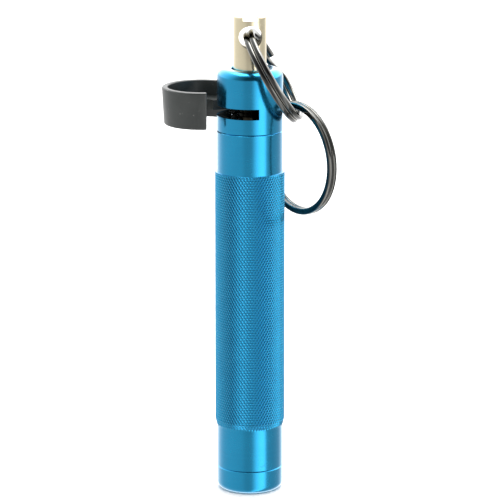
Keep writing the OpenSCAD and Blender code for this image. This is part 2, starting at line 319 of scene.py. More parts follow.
class Graph:
    """A short way to add and link shader nodes in one tree."""

    def __init__(self, tree: bpy.types.NodeTree) -> None:
        """Keeps the tree that the nodes go in."""
        self.tree = tree

    def add(self, kind: str, inputs: dict = None, **settings) -> bpy.types.Node:
        """Adds a node.

        Args:
            kind: The node's type name.
            inputs: Socket name or number to a value or to another node's output.
            **settings: Properties of the node.

        Returns:
            The new node.
        """
        node = self.tree.nodes.new(kind)
        for key, value in settings.items():
            setattr(node, key, value)
        for key, value in (inputs or {}).items():
            if isinstance(value, bpy.types.NodeSocket):
                self.tree.links.new(value, node.inputs[key])
            else:
                node.inputs[key].default_value = value
        return node

    def math(self, operation: str, a: object, b: object = 0.0, c: object = 0.0,
             clamp: bool = False) -> object:
        """Output of a Math node on up to three values or sockets."""
        node = self.add("ShaderNodeMath", {0: a, 1: b, 2: c}, operation=operation, use_clamp=clamp)
        return node.outputs[0]

    def ramp(self, fac: object, stops: list) -> object:
        """Colour output of a Color Ramp with (position, grey or colour) stops."""
        node = self.add("ShaderNodeValToRGB", {0: fac})
        elements = node.color_ramp.elements
        while len(elements) > 1:
            elements.remove(elements[-1])
        for number, (position, colour) in enumerate(stops):
            element = elements[0] if number == 0 else elements.new(position)
            element.position = position
            shade = (colour,) * 3 if isinstance(colour, (int, float)) else tuple(colour)
            element.color = (*shade[:3], 1.0)
        return node.outputs[0]

    def mix(self, fac: object, a: object, b: object) -> object:
        """Colour output of a Mix node."""
        node = self.tree.nodes.new("ShaderNodeMix")
        node.data_type = "RGBA"
        for socket, value in ((node.inputs[0], fac), (node.inputs[6], a), (node.inputs[7], b)):
            if isinstance(value, bpy.types.NodeSocket):
                self.tree.links.new(value, socket)
            else:
                socket.default_value = value if isinstance(value, float) else (*value[:3], 1.0)
        return node.outputs[2]

    def bump(self, height: object, distance: float, strength: float = 1.0) -> object:
        """Normal output of a Bump node; distance is in metres."""
        node = self.add("ShaderNodeBump", {"Height": height, "Distance": distance, "Strength": strength})
        return node.outputs[0]


def group(name: str, inputs: dict, outputs: tuple) -> tuple:
    """Starts a node group.

    Args:
        name: The group's name.
        inputs: Input name to its socket type and default.
        outputs: Names of its float outputs.

    Returns:
        The group, its Graph, its input node and its output node.
    """
    tree = bpy.data.node_groups.new(name, "ShaderNodeTree")
    for key, (kind, value) in inputs.items():
        socket = tree.interface.new_socket(key, in_out="INPUT", socket_type=kind)
        if value is not None:
            socket.default_value = value
    for key in outputs:
        tree.interface.new_socket(key, in_out="OUTPUT", socket_type="NodeSocketFloat")
    return tree, Graph(tree), tree.nodes.new("NodeGroupInput"), tree.nodes.new("NodeGroupOutput")


FLOAT, VECTOR = "NodeSocketFloat", "NodeSocketVector"
DUST_COLOUR = (0.55, 0.54, 0.50)
# Share of a finish's own colour left where painted shade darkens a recess.
PAINTED_RECESS_SHADE = 0.08
SMUDGE_SHARE = 0.35
SCRATCH_GLOSS = 0.12


def turning_group() -> bpy.types.NodeTree:
    """Lathe lines round the Z axis: noise in z alone, wandering slightly round the piece, in two widths."""
    tree, g, given, out = group(
        "turning_lines", {"Vector": (VECTOR, None), "Fine": (FLOAT, 22000.0), "Broad": (FLOAT, 1500.0)},
        ("Height", "Tone"))
    z = g.add("ShaderNodeSeparateXYZ", {0: given.outputs["Vector"]}).outputs[2]
    drift = g.add("ShaderNodeTexNoise", {"Vector": given.outputs["Vector"], "Scale": 90.0, "Detail": 1.0})
    wander = g.math("MULTIPLY_ADD", drift.outputs[0], 0.00004, z)
    fine = g.add("ShaderNodeTexNoise", {"W": g.math("MULTIPLY", wander, given.outputs["Fine"]), "Scale": 1.0,
                                        "Detail": 3.0}, noise_dimensions="1D")
    broad = g.add("ShaderNodeTexNoise", {"W": g.math("MULTIPLY", wander, given.outputs["Broad"]),
                                         "Scale": 1.0, "Detail": 2.0}, noise_dimensions="1D")
    height = g.math("MULTIPLY_ADD", broad.outputs[0], 0.4, fine.outputs[0])
    tree.links.new(height, out.inputs["Height"])
    tree.links.new(g.math("MULTIPLY_ADD", height, 0.9, -0.2, clamp=True), out.inputs["Tone"])
    return tree


def handling_group() -> bpy.types.NodeTree:
    """Traces of handling: soft smudges, sparse dust specks and short random scratches, as three masks."""
    tree, g, given, out = group(
        "handling", {"Vector": (VECTOR, None), "Size": (FLOAT, 160.0)}, ("Smudge", "Dust", "Scratch"))
    vector = given.outputs["Vector"]
    cloud = g.add("ShaderNodeTexNoise", {"Vector": vector, "Scale": given.outputs["Size"], "Detail": 4.0,
                                         "Roughness": 0.6})
    smudge = g.math("MULTIPLY_ADD", cloud.outputs[0], 2.6, -0.9, clamp=True)
    cells = g.add("ShaderNodeTexVoronoi", {"Vector": vector, "Scale": 1400.0})
    keep = g.add("ShaderNodeTexNoise", {"Vector": vector, "Scale": 520.0, "Detail": 1.0})
    speck = g.math("LESS_THAN", cells.outputs["Distance"], 0.11)
    dust = g.math("MULTIPLY", speck, g.math("GREATER_THAN", keep.outputs[0], 0.62))
    warp = g.add("ShaderNodeTexNoise", {"Vector": vector, "Scale": 70.0, "Detail": 2.0})
    turned_at = g.add("ShaderNodeVectorMath", {0: vector, 1: warp.outputs[1]}, operation="MULTIPLY_ADD")
    turned_at.inputs[1].default_value = (1.0, 1.0, 1.0)
    tree.links.new(g.add("ShaderNodeVectorMath", {0: warp.outputs[1], 3: 0.02}, operation="SCALE").outputs[0],
                   turned_at.inputs[2])
    lines = g.add("ShaderNodeTexWave", {"Vector": turned_at.outputs[0], "Scale": 320.0, "Distortion": 18.0,
                                        "Detail": 1.0}, bands_direction="DIAGONAL")
    thin = g.math("GREATER_THAN", lines.outputs[1], 0.992)
    some = g.math("GREATER_THAN", cloud.outputs[0], 0.56)
    for name, value in (("Smudge", smudge), ("Dust", dust), ("Scratch", g.math("MULTIPLY", thin, some))):
        tree.links.new(value, out.inputs[name])
    return tree


def grain_group() -> bpy.types.NodeTree:
    """Moulded grain: small Voronoi cells softened by noise, as a height."""
    tree, g, given, out = group(
        "moulded_grain", {"Vector": (VECTOR, None), "Scale": (FLOAT, 5200.0)}, ("Height", "Shade"))
    vector = given.outputs["Vector"]
    cells = g.add("ShaderNodeTexVoronoi", {"Vector": vector, "Scale": given.outputs["Scale"]},
                  feature="SMOOTH_F1")
    cloud = g.add("ShaderNodeTexNoise", {"Vector": vector, "Scale": 900.0, "Detail": 5.0})
    height = g.math("MULTIPLY_ADD", cells.outputs["Distance"], 0.7, cloud.outputs[0])
    tree.links.new(height, out.inputs["Height"])
    flow = g.add("ShaderNodeTexNoise", {"Vector": vector, "Scale": 230.0, "Detail": 3.0})
    tree.links.new(g.math("MULTIPLY_ADD", flow.outputs[0], 1.8, -0.4, clamp=True), out.inputs["Shade"])
    return tree


def wire_group() -> bpy.types.NodeTree:
    """Drawn wire on its UV map: fine scores along it, and a patchy mask of its four rounded corners for a
    painted highlight.
    """
    tree, g, given, out = group("drawn_wire", {"Vector": (VECTOR, None)}, ("Height", "Tone", "Glint"))
    parts = g.add("ShaderNodeSeparateXYZ", {0: given.outputs["Vector"]})
    u, v = parts.outputs[0], parts.outputs[1]
    lay = g.add("ShaderNodeCombineXYZ", {0: g.math("MULTIPLY", u, 0.35), 1: g.math("MULTIPLY", v, 26.0)})
    score = g.add("ShaderNodeTexNoise", {"Vector": lay.outputs[0], "Scale": 1.6, "Detail": 4.0,
                                         "Roughness": 0.65})
    # The corner mask, broken into patches, is a painted highlight along the wire's edges.
    corner = g.math("FRACT", g.math("MULTIPLY", v, 4.0))
    off = g.math("ABSOLUTE", g.math("SUBTRACT", corner, 0.4))
    edge = g.math("SUBTRACT", 1.0, g.math("MULTIPLY", off, 3.6), clamp=True)
    glint_patches = g.add("ShaderNodeTexNoise", {"Vector": lay.outputs[0], "Scale": 0.5, "Detail": 3.0})
    patchy = g.math("MULTIPLY_ADD", glint_patches.outputs[0], 2.4, -0.55, clamp=True)
    edge_glint = g.math("MULTIPLY", edge, patchy, clamp=True)
    for name, value in (("Height", score.outputs[0]), ("Glint", edge_glint),
                        ("Tone", g.math("MULTIPLY_ADD", score.outputs[0], 1.7, -0.35, clamp=True))):
        tree.links.new(value, out.inputs[name])
    return tree


def painted_recess_shade_group() -> bpy.types.NodeTree:
    """Mask of a band of height inside a radius, both in metres, such as a milled slot, where the colour is
    darkened as painted shade.
    """
    tree, g, given, out = group(
        "painted_recess_shade", {"Vector": (VECTOR, None), "Radius": (FLOAT, 0.0), "Low": (FLOAT, 0.0),
                   "High": (FLOAT, 0.0)}, ("Inside",))
    parts = g.add("ShaderNodeSeparateXYZ", {0: given.outputs["Vector"]})
    flat = g.add("ShaderNodeCombineXYZ", {0: parts.outputs[0], 1: parts.outputs[1]})
    reach = g.add("ShaderNodeVectorMath", {0: flat.outputs[0]}, operation="LENGTH").outputs["Value"]
    near = g.math("LESS_THAN", reach, given.outputs["Radius"])
    above = g.math("GREATER_THAN", parts.outputs[2], given.outputs["Low"])
    below = g.math("LESS_THAN", parts.outputs[2], given.outputs["High"])
    tree.links.new(g.math("MULTIPLY", near, g.math("MULTIPLY", above, below)), out.inputs["Inside"])
    return tree


class Shared:
    """The node groups, built once and placed in each material."""

    turning = turning_group()
    handling = handling_group()
    grain = grain_group()
    wire = wire_group()
    painted_recess_shade = painted_recess_shade_group()


class Look(Enum):
    """Which surface pattern a finish carries."""

    TURNED = "turned"
    MOULDED = "moulded"
    WIRE = "wire"


@dataclass(frozen=True)
class Finish:
    """One material: base colour with a darker or lighter companion, gloss and surface pattern."""

    name: str
    colour: tuple
    second: tuple
    metallic: float
    roughness: tuple
    look: Look
    bump_mm: float
    coat: float = 0.0
    coat_roughness: float = 0.08
    coat_ior: float = 1.5
    ior: float = 1.5
    fine: float = 22000.0
    broad: float = 1500.0
    smudge_size: float = 160.0
    scratches: float = 0.25
    dust: float = 0.0
    # Pale colour painted on the wire's corners as a highlight.
    edge_glint: tuple = (0.0, 0.0, 0.0)
    # Radius, low and high height of a band whose colour is darkened as painted shade.
    painted_shade_mm: tuple = ()

    def build(self) -> bpy.types.Material:
        """Makes the Blender material: pattern and handling masks vary colour, roughness and bump.

        Returns:
            The material.
        """
        material = bpy.data.materials.new(self.name)
        material.use_nodes = True
        tree = material.node_tree
        tree.nodes.clear()
        g = Graph(tree)
        at = g.add("ShaderNodeTexCoord").outputs["Object"]
        hand = g.add("ShaderNodeGroup", node_tree=Shared.handling)
        tree.links.new(at, hand.inputs["Vector"])
        hand.inputs["Size"].default_value = self.smudge_size
        edge, along = None, at
        if self.look is Look.WIRE:
            pattern = g.add("ShaderNodeGroup", node_tree=Shared.wire)
            along = g.add("ShaderNodeUVMap", uv_map="wire").outputs[0]
            height, tone, edge = (pattern.outputs[key] for key in ("Height", "Tone", "Glint"))
        elif self.look is Look.TURNED:
            pattern = g.add("ShaderNodeGroup", node_tree=Shared.turning)
            pattern.inputs["Fine"].default_value = self.fine
            pattern.inputs["Broad"].default_value = self.broad
            height, tone = pattern.outputs["Height"], pattern.outputs["Tone"]
        else:
            pattern = g.add("ShaderNodeGroup", node_tree=Shared.grain)
            height, tone = pattern.outputs["Height"], pattern.outputs["Shade"]
        tree.links.new(along, pattern.inputs["Vector"])
        blend = g.math("MULTIPLY_ADD", hand.outputs["Smudge"], SMUDGE_SHARE, g.math("MULTIPLY", tone, 0.65))
        colour = g.mix(blend, self.colour, self.second)
        # Painted highlight: the wire's corners take a pale colour.
        if edge is not None:
            colour = g.mix(edge, colour, self.edge_glint)
        # Painted shade: inside the masked band the colour falls to a small share of itself, for the dark
        # inside of the slot.
        if self.painted_shade_mm:
            painted_recess_shade = g.add("ShaderNodeGroup", node_tree=Shared.painted_recess_shade)
            tree.links.new(at, painted_recess_shade.inputs["Vector"])
            for key, value in zip(("Radius", "Low", "High"), self.painted_shade_mm):
                painted_recess_shade.inputs[key].default_value = value * MM
            colour = g.mix(painted_recess_shade.outputs["Inside"], colour, tuple(PAINTED_RECESS_SHADE * c for c in self.colour))
        if self.dust:
            colour = g.mix(g.math("MULTIPLY", hand.outputs["Dust"], self.dust), colour, DUST_COLOUR)
        low, high = self.roughness
        rough = g.math("MULTIPLY_ADD", blend, high - low, low)
        rough = g.math("MULTIPLY_ADD", hand.outputs["Scratch"], SCRATCH_GLOSS, rough, clamp=True)
        relief = g.math("MULTIPLY_ADD", hand.outputs["Scratch"], -self.scratches, height)
        normal = g.bump(relief, self.bump_mm * MM)
        shader = g.add("ShaderNodeBsdfPrincipled", {
            "Base Color": colour, "Roughness": rough, "Normal": normal, "Metallic": self.metallic,
            "Coat Weight": self.coat, "Coat Roughness": self.coat_roughness, "Coat IOR": self.coat_ior,
            "IOR": self.ior})
        out = g.add("ShaderNodeOutputMaterial")
        tree.links.new(shader.outputs[0], out.inputs[0])
        return material


class Finishes:
    """Every finish of the object, one a slot."""

    # The blue's slot band and the post's shank below the slot carry painted shade.
    blue = Finish("anodised_blue", (0.008, 0.265, 0.50), (0.012, 0.335, 0.60), 1.0, (0.17, 0.25), Look.TURNED,
                  0.0016, coat=1.0, coat_roughness=0.14, coat_ior=1.32, painted_shade_mm=(7.3, 90.6, 93.6)).build()
    nickel = Finish("champagne_nickel", (0.72, 0.635, 0.44), (0.82, 0.74, 0.54), 1.0, (0.16, 0.28),
                    Look.TURNED, 0.002, fine=15000.0, broad=900.0, smudge_size=220.0,
                    painted_shade_mm=(20.0, 0.0, 93.7)).build()
    nylon = Finish("black_nylon", (0.019, 0.023, 0.022), (0.034, 0.038, 0.036), 0.0, (0.28, 0.40),
                   Look.MOULDED, 0.006, ior=1.53, dust=0.5).build()
    # The wire's corners carry a pale painted highlight.
    wire = Finish("black_nickel_wire", (0.042, 0.046, 0.045), (0.10, 0.10, 0.096), 1.0, (0.08, 0.20),
                  Look.WIRE, 0.004, smudge_size=420.0, scratches=0.5, edge_glint=(0.50, 0.49, 0.45)).build()
    pin = Finish("ground_steel", (0.50, 0.50, 0.50), (0.62, 0.62, 0.61), 1.0, (0.2, 0.32), Look.TURNED,
                 0.0012, fine=30000.0).build()
    spring = Finish("spring_steel", (0.42, 0.42, 0.43), (0.56, 0.56, 0.56), 1.0, (0.2, 0.3), Look.MOULDED,
                    0.001).build()
    rubber = Finish("nitrile", (0.012, 0.012, 0.012), (0.024, 0.024, 0.024), 0.0, (0.55, 0.7), Look.MOULDED,
                    0.006).build()
    foam = Finish("cell_foam", (0.05, 0.05, 0.05), (0.09, 0.09, 0.09), 0.0, (0.8, 0.95), Look.MOULDED,
                  0.05).build()
    can = Finish("drawn_aluminium", (0.62, 0.63, 0.64), (0.74, 0.75, 0.76), 1.0, (0.22, 0.34), Look.TURNED,
                 0.002, fine=9000.0).build()
    cup = Finish("tinplate", (0.55, 0.55, 0.54), (0.68, 0.68, 0.66), 1.0, (0.18, 0.3), Look.TURNED,
                 0.001).build()
    acetal = Finish("natural_acetal", (0.74, 0.74, 0.70), (0.82, 0.82, 0.79), 0.0, (0.32, 0.45), Look.MOULDED,
                    0.003).build()
    poly = Finish("polyethylene", (0.78, 0.79, 0.77), (0.86, 0.87, 0.85), 0.0, (0.3, 0.42), Look.MOULDED,
                  0.002).build()
    bush = Finish("black_acetal", (0.015, 0.015, 0.016), (0.03, 0.03, 0.031), 0.0, (0.35, 0.5), Look.TURNED,
                  0.003).build()
    brass = Finish("turned_brass", (0.62, 0.44, 0.16), (0.75, 0.56, 0.24), 1.0, (0.18, 0.3), Look.TURNED,
                   0.0015).build()


# ---------------------------------------------------------------- sub-assemblies


@dataclass
class KnurledTube:
    """The tube: plain ends and a diamond-knurled grip with a soft shoulder below and a sharp one above."""

    plain_r: float = 7.8
    bore_r: float = 6.9
    taper_low: float = 15.3
    grip_low: float = 17.1
    grip_high: float = 77.3
    edge: float = 0.16
    step_edge: float = 0.1
    diamonds_round: int = 68
    diamond_h: float = 1.22
    depth: float = 0.15
    land: float = 0.6
    run_out_h: float = 0.9
    bore_chamfer: float = 0.2
    shoulder_lip: float = 0.03

    def grip_radius(self, a: Array, z: Array, peak: float) -> Array:
        """Radius over the knurl: two families of V grooves cross, and each point takes the lower ridge.

        Args:
            a: Angles round the tube.
            z: Heights.
            peak: Radius over the diamonds' flats.

        Returns:
            Radii, one row for each height.
        """
        u = a[None, :] / (2 * np.pi) * self.diamonds_round
        v = (z[:, None] - self.grip_low) / self.diamond_h
        ridge = [1 - np.abs(2 * np.mod(x, 1.0) - 1) for x in (u + v, u - v)]
        height = np.minimum(np.minimum(*ridge), self.land) / self.land
        return peak - self.depth * (1 - height)

    def surface(self) -> tuple:
        """Works out the whole tube as one grid of heights by angles.

        Returns:
            The surface, and True for each face of the knurl.
        """
        low, high = box_mm("barrel")
        bottom, top, peak = low[2], high[2], high[0]
        cols = 4 * self.diamonds_round
        a = np.arange(cols) * 2 * np.pi / cols
        step = self.diamond_h / 4
        first = math.floor((self.taper_low - self.grip_low) / step) * step
        knurl_z = self.grip_low + np.arange(first, self.grip_high - self.grip_low - self.step_edge, step)
        knurl_z = np.append(knurl_z[:-1], self.grip_high - self.step_edge)
        taper = np.interp(knurl_z, [self.taper_low, self.grip_low], [self.plain_r, peak])
        run_out = np.clip((knurl_z - self.taper_low) / self.run_out_h, 0, 1)
        ease = taper[:, None] - (peak - self.grip_radius(a, knurl_z, peak)) * run_out[:, None]
        plain = [
            (self.bore_r, bottom + self.bore_chamfer), (self.bore_r + self.bore_chamfer, bottom),
            (self.plain_r - self.edge, bottom),
            (self.plain_r, bottom + self.edge), (self.plain_r, (bottom + self.taper_low) / 2)]
        upper = [
            (peak - self.step_edge, self.grip_high), (self.plain_r + self.shoulder_lip, self.grip_high),
            (self.plain_r, self.grip_high + self.shoulder_lip), (self.plain_r, top - self.edge),
            (self.plain_r - self.edge, top), (self.bore_r + self.bore_chamfer, top),
            (self.bore_r, top - self.bore_chamfer)]
        rows_r = np.vstack([np.repeat([[r]], cols, axis=1) for r, _ in plain] + [ease]
                           + [np.repeat([[r]], cols, axis=1) for r, _ in upper])
        rows_z = np.concatenate([[z for _, z in plain], knurl_z, [z for _, z in upper]])
        points = np.stack([rows_r * np.cos(a), rows_r * np.sin(a), np.repeat(rows_z[:, None], cols, 1)], -1)
        quads = grid_faces(len(rows_z), cols, True, True)
        row = quads[:, 0] // cols
        knurl = (row >= len(plain)) & (row < len(plain) + len(knurl_z) - 1)
        q = quads[knurl]
        even = ((q[:, 0] // cols - len(plain)) + q[:, 0] % cols) % 2 == 0
        a_cut = np.vstack([q[even][:, [0, 1, 2]], q[even][:, [0, 2, 3]]])
        b_cut = np.vstack([q[~even][:, [0, 1, 3]], q[~even][:, [1, 2, 3]]])
        faces = quads[~knurl].tolist() + a_cut.tolist() + b_cut.tolist()
        flat = np.zeros(len(faces), bool)
        flat[int((~knurl).sum()):] = True
        return Surface(points.reshape(-1, 3), faces).outward(), flat

    def build(self) -> bpy.types.Object:
        """Makes the tube."""
        surface, flat = self.surface()
        obj = Workshop.raw("tube_shell", surface)
        return Workshop.finish(obj, Finishes.blue, "tube", "blue_anodised", ("barrel",), flat)


@dataclass
class EndCap:
    """The screwed end cap: a short plug with a soft bottom edge, and a groove that holds its seal."""

    plain_r: float = 7.8
    bottom_round: float = 1.6
    edge: float = 0.16
    spigot_r: float = 6.85
    groove_r: float = 5.85
    groove_w: float = 1.3
    seal_up: float = 2.2
    lead_in: float = 0.4

    def build(self) -> bpy.types.Object:
        """Makes the cap as one turned profile."""
        low, high = box_mm("end_cap")
        foot, top = low[2], high[2]
        step = box_mm("barrel")[0][2]
        seal = step + self.seal_up
        centre_dimple = [(0.0, foot + 0.12), (0.35, foot + 0.1), (0.6, foot)]
        profile = np.vstack([
            centre_dimple,
            arc(self.plain_r - self.bottom_round, foot + self.bottom_round, self.bottom_round, -90, 0, 12),
            [(self.plain_r, step - self.edge), (self.plain_r - self.edge, step), (self.spigot_r, step),
             (self.spigot_r, seal - self.groove_w / 2), (self.groove_r, seal - self.groove_w / 2),
             (self.groove_r, seal + self.groove_w / 2), (self.spigot_r, seal + self.groove_w / 2),
             (self.spigot_r, top - self.lead_in), (self.spigot_r - self.lead_in, top), (0.0, top)]])
        obj = Workshop.raw("end_cap_shell", turned(profile))
        return Workshop.finish(obj, Finishes.blue, "cap", "blue_anodised", ("end_cap",))


@dataclass
class Head:
    """The pump head: turned body with the milled latch slot, the spray port and two hinge ears."""

    plain_r: float = 7.8
    top_round: float = 2.0
    edge: float = 0.16
    visible_h: float = 14.8
    spigot_r: float = 6.85
    chamber_r: float = 5.3
    bore_r: float = 4.35
    shank_hole_r: float = 2.75
    slot_up: float = 3.75
    slot_h: float = 2.5
    slot_end_x: float = 2.2
    slot_back_x: float = -1.2
    ledge_h: float = 0.7
    ear_r: float = 1.7
    ear_h: float = 2.5
    pin_hole_r: float = 0.72
    port_r: float = 0.9
    port_angle: float = math.radians(40)
    port_up: float = 1.05
    milled_edge: float = 0.07
    lead_in: float = 0.4
    mouth_round: float = 0.3
    floor_drop: float = 0.2

    def profile(self, foot: float, base: float, top: float) -> Array:
        """Half section of the turned body, from the chamber's mouth round the outside and down the bore."""
        slot = base + self.slot_up
        floor = slot - self.floor_drop
        chamber = slot - self.ledge_h
        return np.vstack([
            [(self.chamber_r, foot), (self.spigot_r - self.lead_in, foot),
             (self.spigot_r, foot + self.lead_in), (self.spigot_r, base),
             (self.plain_r - self.edge, base), (self.plain_r, base + self.edge)],
            arc(self.plain_r - self.top_round, top - self.top_round, self.top_round, 0, 90, 10),
            arc(self.bore_r + self.mouth_round, top - self.mouth_round, self.mouth_round, 90, 180, 4),
            [(self.bore_r, floor), (self.shank_hole_r, floor), (self.shank_hole_r, chamber),
             (self.chamber_r, chamber)]])

    def build(self, pin: Array) -> bpy.types.Object:
        """Turns the body, adds the ears and mills the slot, pin hole and port.

        Args:
            pin: Plan position of the hinge pin.

        Returns:
            The finished head.
        """
        low, high = box_mm("head")
        top = high[2]
        base = top - self.visible_h
        slot = base + self.slot_up
        obj = Workshop.raw("head_shell", turned(self.profile(low[2], base, top), 256))
        reach = np.linalg.norm(pin)
        direction = math.degrees(math.atan2(pin[1], pin[0]))
        start = self.bore_r + 1
        tip = arc(reach, 0, self.ear_r, -90, 90, 20)
        ear = np.vstack([[(start, -self.ear_r)], tip, [(start, self.ear_r)]])
        ear = ear @ turn_z(math.radians(direction))[:2, :2].T
        for floor in (slot - self.ear_h, slot + self.slot_h):
            Workshop.cut(obj, extruded(ear, floor, floor + self.ear_h), "UNION")
        far = 3 * self.plain_r
        gone = np.array([
            (self.slot_end_x, -far), (self.slot_end_x, 1.0), (self.slot_back_x, 1.0), (self.slot_back_x, far),
            (-far, far), (-far, -far)])
        Workshop.cut(obj, extruded(gone, slot, slot + self.slot_h))
        hole = arc(pin[0], pin[1], self.pin_hole_r, 0, 360, 40)[:-1]
        Workshop.cut(obj, extruded(hole, slot - self.ear_h - 1, slot + self.slot_h + self.ear_h + 1))
        drill = extruded(arc(0, 0, self.port_r, 0, 360, 48)[:-1], self.chamber_r - 1, self.plain_r + 2)
        along_x = np.array([[0.0, 0.0, 1.0], [0.0, 1.0, 0.0], [-1.0, 0.0, 0.0]])
        port = drill.moved(turn_z(self.port_angle) @ along_x, (0, 0, base + self.port_up))
        Workshop.cut(obj, port)
        Workshop.bevel(obj, self.milled_edge, 50)
        return Workshop.finish(obj, Finishes.blue, "tube", "blue_anodised", ("head",))


@dataclass
class PressPost:
    """The press post: a turned rod with a groove across its top that leaves two ears, and a cross hole."""

    r: float = 3.87
    shank_r: float = 2.6
    neck_r: float = 2.1
    clip_up: float = 0.25
    clip_t: float = 0.4
    shoulder_up: float = 4.2
    top_round: float = 0.35
    shoulder_chamfer: float = 0.2
    notch_w: float = 3.7
    notch_d: float = 0.9
    hole_r: float = 2.75
    hole_drop: float = 4.75
    yaw: float = math.radians(3)
    milled_edge: float = 0.14

    def build(self) -> bpy.types.Object:
        """Turns the rod, then mills the groove and drills the cross hole, both turned by the yaw."""
        low, high = box_mm("post")
        foot, top = low[2], high[2]
        clip = foot + self.clip_up
        shoulder = foot + self.shoulder_up
        profile = np.vstack([
            [(0, foot), (self.shank_r, foot), (self.shank_r, clip), (self.neck_r, clip),
             (self.neck_r, clip + self.clip_t), (self.shank_r, clip + self.clip_t), (self.shank_r, shoulder),
             (self.r - self.shoulder_chamfer, shoulder), (self.r, shoulder + self.shoulder_chamfer)],
            arc(self.r - self.top_round, top - self.top_round, self.top_round, 0, 90, 6), [(0, top)]])
        obj = Workshop.raw("post_body", turned(profile, 128))
        half = self.notch_w / 2
        far = 2 * self.r
        across = np.array([(-half, -far), (half, -far), (half, far), (-half, far)])
        across = across @ turn_z(self.yaw)[:2, :2].T
        Workshop.cut(obj, extruded(across, top - self.notch_d, top + 2))
        drill = extruded(arc(0, 0, self.hole_r, 0, 360, 72)[:-1], -far, far)
        along_y = np.array([[1.0, 0.0, 0.0], [0.0, 0.0, 1.0], [0.0, -1.0, 0.0]])
        Workshop.cut(obj, drill.moved(turn_z(self.yaw) @ along_y, (0, 0, top - self.hole_drop)))
        Workshop.bevel(obj, self.milled_edge, 45, 3)
        return Workshop.finish(obj, Finishes.nickel, "post", "post_nickel", ("post",))


@dataclass
class SafetyLatch:
    """The moulded latch: an open C strip with a slight draft, and the flat web that pivots on the pin."""

    tube_r: float = 7.8
    gap: float = 0.2
    thick: float = 1.4
    draft: float = 0.5
    edge: float = 0.38
    inner_edge: float = 0.3
    end_round: float = 0.3
    first: float = 131.0  # degrees
    last: float = 365.5  # degrees
    swing: float = 87.0  # degrees
    web_t: float = 2.3
    web_in_r: float = 2.9
    web_end_x: float = 1.95
    eye_r: float = 1.5
    hole_r: float = 0.76

    def strip(self, low: float, high: float) -> Surface:
        """The shut strip: a leaning rounded rectangle carried round an arc about the axis."""
        inner, outer = self.tube_r + self.gap, self.tube_r + self.gap + self.thick
        section = rounded([
            (inner, low, self.inner_edge), (outer - self.draft, low, self.edge), (outer, high, self.edge),
            (inner, high, self.inner_edge)], 6)
        a = np.radians(np.linspace(self.first, self.last, 120))
        out = np.column_stack([np.cos(a), np.sin(a), np.zeros_like(a)])
        up = np.repeat([[0.0, 0.0, 1.0]], len(a), axis=0)
        return carried(section, np.zeros_like(out), out, up)

    def web_outline(self, pin: Array) -> Array:
        """Plan of the shut web: round the strip's inside, by the slot's end, round the shank, to the eye."""
        reach = math.hypot(*pin)
        direction = math.degrees(math.atan2(pin[1], pin[0]))
        rim = self.tube_r + self.gap + 0.6
        end = 360 - math.degrees(math.acos(self.web_end_x / rim))
        inner_end = 360 - math.degrees(math.acos(self.web_end_x / self.web_in_r))
        start = math.radians(self.first + 1)
        eye = arc(pin[0], pin[1], self.eye_r, direction - 150, direction + 60, 24)
        return np.vstack([
            eye, arc(0, 0, rim, math.degrees(start), end, 60),
            arc(0, 0, self.web_in_r, inner_end, direction - 6, 40)])

    def build(self, pin: Array) -> bpy.types.Object:
        """Joins strip and web, drills the eye and swings the latch open about its pin.

        Args:
            pin: Plan position of the hinge pin.

        Returns:
            The finished latch.
        """
        low, high = box_mm("latch")
        slot_low = box_mm("head")[1][2] - Head.visible_h + Head.slot_up
        web_low = slot_low + (Head.slot_h - self.web_t) / 2
        obj = Workshop.raw("latch_moulding", self.strip(low[2], high[2]))
        Workshop.bevel(obj, self.end_round, 60, 3)
        Workshop.cut(obj, extruded(self.web_outline(pin), web_low, web_low + self.web_t), "UNION")
        hole = arc(pin[0], pin[1], self.hole_r, 0, 360, 40)[:-1]
        Workshop.cut(obj, extruded(hole, web_low - 1, web_low + self.web_t + 1))
        turn = turn_z(math.radians(-self.swing))
        centre = np.array([pin[0], pin[1], 0.0])
        there, back = Matrix.Translation(Vector(centre)), Matrix.Translation(-Vector(centre))
        obj.data.transform(there @ Matrix(turn.tolist()).to_4x4() @ back)
        return Workshop.finish(obj, Finishes.nylon, "latch", "latch_plastic", ("latch",))


